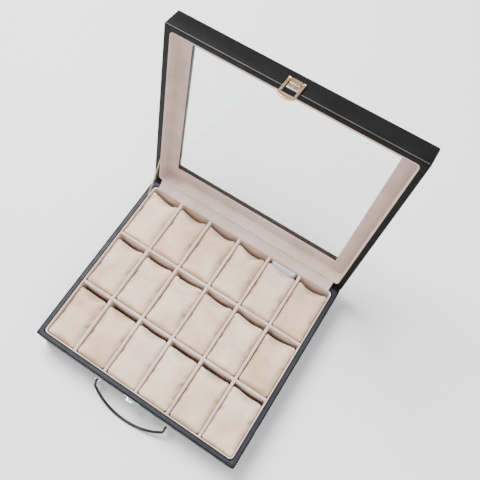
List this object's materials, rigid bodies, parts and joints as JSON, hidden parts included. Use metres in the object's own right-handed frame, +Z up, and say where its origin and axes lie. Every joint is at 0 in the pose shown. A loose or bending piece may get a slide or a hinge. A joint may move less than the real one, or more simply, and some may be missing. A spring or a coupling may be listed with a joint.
{
  "type": "watch box",
  "caption": "Leather-covered box with a velvet-lined divider grid, a small pillow in each compartment, a hinged lid with a glass window, a loop latch and a bow handle.",
  "frame": {"origin": "centre of the base's underside, on the table", "axes": "+X right, +Y to the back where the hinges are, +Z up; the lid stands open at rest"},
  "size_m": [0.33, 0.4046, 0.3483],
  "materials": {
    "black_leather": "fine grain with a low sheen",
    "handle_leather": "wrapped and stitched, satin",
    "fibreboard": "raw, hidden under the covers",
    "velvet_lining": "short pile",
    "pillow_suede": "soft suede",
    "bright_steel": "polished plating",
    "gold_plating": "polished rose-gold plating",
    "clear_glass": "clear",
    "ribbon_weave": "satin weave",
    "sachet_paper": "fibrous paper"
  },
  "bodies": {
    "base": {"base_bottom_cover": "black_leather", "base_bottom_board": "fibreboard", "base_front_board": "fibreboard", "base_back_board": "fibreboard", "base_left_board": "fibreboard", "base_right_board": "fibreboard", "base_leather_cover": "black_leather", "base_floor_lining": "velvet_lining", "base_wall_lining": "velvet_lining", "long_divider_1": "velvet_lining", "long_divider_2": "velvet_lining", "long_divider_3": "velvet_lining", "long_divider_4": "velvet_lining", "long_divider_5": "velvet_lining", "cross_divider_1": "velvet_lining", "cross_divider_2": "velvet_lining", "catch_plate": "bright_steel", "catch_nails": "bright_steel", "handle_brackets": "bright_steel", "handle_pins": "bright_steel", "hinge_base_leaves": "gold_plating", "hinge_pins": "bright_steel", "hinge_cloth": "velvet_lining", "stay_ribbon": "ribbon_weave", "desiccant_sachet": "sachet_paper"},
    "lid": {"lid_front_board": "fibreboard", "lid_back_board": "fibreboard", "lid_left_board": "fibreboard", "lid_right_board": "fibreboard", "window_long_rails": "fibreboard", "window_short_rails": "fibreboard", "glass_pane": "clear_glass", "lid_wall_lining": "velvet_lining", "window_frame_lining": "velvet_lining", "lid_leather_cover": "black_leather", "hinge_lid_leaves": "gold_plating", "latch_plate": "bright_steel", "latch_block": "gold_plating", "latch_nails": "bright_steel", "latch_pin": "gold_plating"},
    "latch_loop": {"latch_loop": "gold_plating"},
    "handle": {"handle": "handle_leather"},
    "pillow_c1_r1": {"pillow_c1_r1": "pillow_suede"},
    "pillow_c1_r2": {"pillow_c1_r2": "pillow_suede"},
    "pillow_c1_r3": {"pillow_c1_r3": "pillow_suede"},
    "pillow_c2_r1": {"pillow_c2_r1": "pillow_suede"},
    "pillow_c2_r2": {"pillow_c2_r2": "pillow_suede"},
    "pillow_c2_r3": {"pillow_c2_r3": "pillow_suede"},
    "pillow_c3_r1": {"pillow_c3_r1": "pillow_suede"},
    "pillow_c3_r2": {"pillow_c3_r2": "pillow_suede"},
    "pillow_c3_r3": {"pillow_c3_r3": "pillow_suede"},
    "pillow_c4_r1": {"pillow_c4_r1": "pillow_suede"},
    "pillow_c4_r2": {"pillow_c4_r2": "pillow_suede"},
    "pillow_c4_r3": {"pillow_c4_r3": "pillow_suede"},
    "pillow_c5_r1": {"pillow_c5_r1": "pillow_suede"},
    "pillow_c5_r2": {"pillow_c5_r2": "pillow_suede"},
    "pillow_c5_r3": {"pillow_c5_r3": "pillow_suede"},
    "pillow_c6_r1": {"pillow_c6_r1": "pillow_suede"},
    "pillow_c6_r2": {"pillow_c6_r2": "pillow_suede"},
    "pillow_c6_r3": {"pillow_c6_r3": "pillow_suede"}
  },
  "joints": [
    {"name": "lid_hinge", "type": "hinge", "parent": "base", "child": "lid", "pos_m": [0, 0.1462, 0.0543], "axis": [-1, 0, 0], "range_deg": [-101, 0], "deforming": ["hinge_cloth", "stay_ribbon"]},
    {"name": "latch_loop_swing", "type": "hinge", "parent": "lid", "child": "latch_loop", "pos_m": [0, 0.21479, 0.34006], "axis": [-1, 0, 0], "range_deg": [0, 175]},
    {"name": "handle_swing", "type": "hinge", "parent": "base", "child": "handle", "pos_m": [0, -0.151, 0.0262], "axis": [-1, 0, 0], "range_deg": [0, 122]},
    {"name": "pillow_c1_r1_lift", "type": "slide", "parent": "base", "child": "pillow_c1_r1", "axis": [0, 0, 1], "range_m": [0, 0.06]},
    {"name": "pillow_c1_r2_lift", "type": "slide", "parent": "base", "child": "pillow_c1_r2", "axis": [0, 0, 1], "range_m": [0, 0.06]},
    {"name": "pillow_c1_r3_lift", "type": "slide", "parent": "base", "child": "pillow_c1_r3", "axis": [0, 0, 1], "range_m": [0, 0.06]},
    {"name": "pillow_c2_r1_lift", "type": "slide", "parent": "base", "child": "pillow_c2_r1", "axis": [0, 0, 1], "range_m": [0, 0.06]},
    {"name": "pillow_c2_r2_lift", "type": "slide", "parent": "base", "child": "pillow_c2_r2", "axis": [0, 0, 1], "range_m": [0, 0.06]},
    {"name": "pillow_c2_r3_lift", "type": "slide", "parent": "base", "child": "pillow_c2_r3", "axis": [0, 0, 1], "range_m": [0, 0.06]},
    {"name": "pillow_c3_r1_lift", "type": "slide", "parent": "base", "child": "pillow_c3_r1", "axis": [0, 0, 1], "range_m": [0, 0.06]},
    {"name": "pillow_c3_r2_lift", "type": "slide", "parent": "base", "child": "pillow_c3_r2", "axis": [0, 0, 1], "range_m": [0, 0.06]},
    {"name": "pillow_c3_r3_lift", "type": "slide", "parent": "base", "child": "pillow_c3_r3", "axis": [0, 0, 1], "range_m": [0, 0.06]},
    {"name": "pillow_c4_r1_lift", "type": "slide", "parent": "base", "child": "pillow_c4_r1", "axis": [0, 0, 1], "range_m": [0, 0.06]},
    {"name": "pillow_c4_r2_lift", "type": "slide", "parent": "base", "child": "pillow_c4_r2", "axis": [0, 0, 1], "range_m": [0, 0.06]},
    {"name": "pillow_c4_r3_lift", "type": "slide", "parent": "base", "child": "pillow_c4_r3", "axis": [0, 0, 1], "range_m": [0, 0.06]},
    {"name": "pillow_c5_r1_lift", "type": "slide", "parent": "base", "child": "pillow_c5_r1", "axis": [0, 0, 1], "range_m": [0, 0.06]},
    {"name": "pillow_c5_r2_lift", "type": "slide", "parent": "base", "child": "pillow_c5_r2", "axis": [0, 0, 1], "range_m": [0, 0.06]},
    {"name": "pillow_c5_r3_lift", "type": "slide", "parent": "base", "child": "pillow_c5_r3", "axis": [0, 0, 1], "range_m": [0, 0.06]},
    {"name": "pillow_c6_r1_lift", "type": "slide", "parent": "base", "child": "pillow_c6_r1", "axis": [0, 0, 1], "range_m": [0, 0.06]},
    {"name": "pillow_c6_r2_lift", "type": "slide", "parent": "base", "child": "pillow_c6_r2", "axis": [0, 0, 1], "range_m": [0, 0.06]},
    {"name": "pillow_c6_r3_lift", "type": "slide", "parent": "base", "child": "pillow_c6_r3", "axis": [0, 0, 1], "range_m": [0, 0.06]}
  ]
}
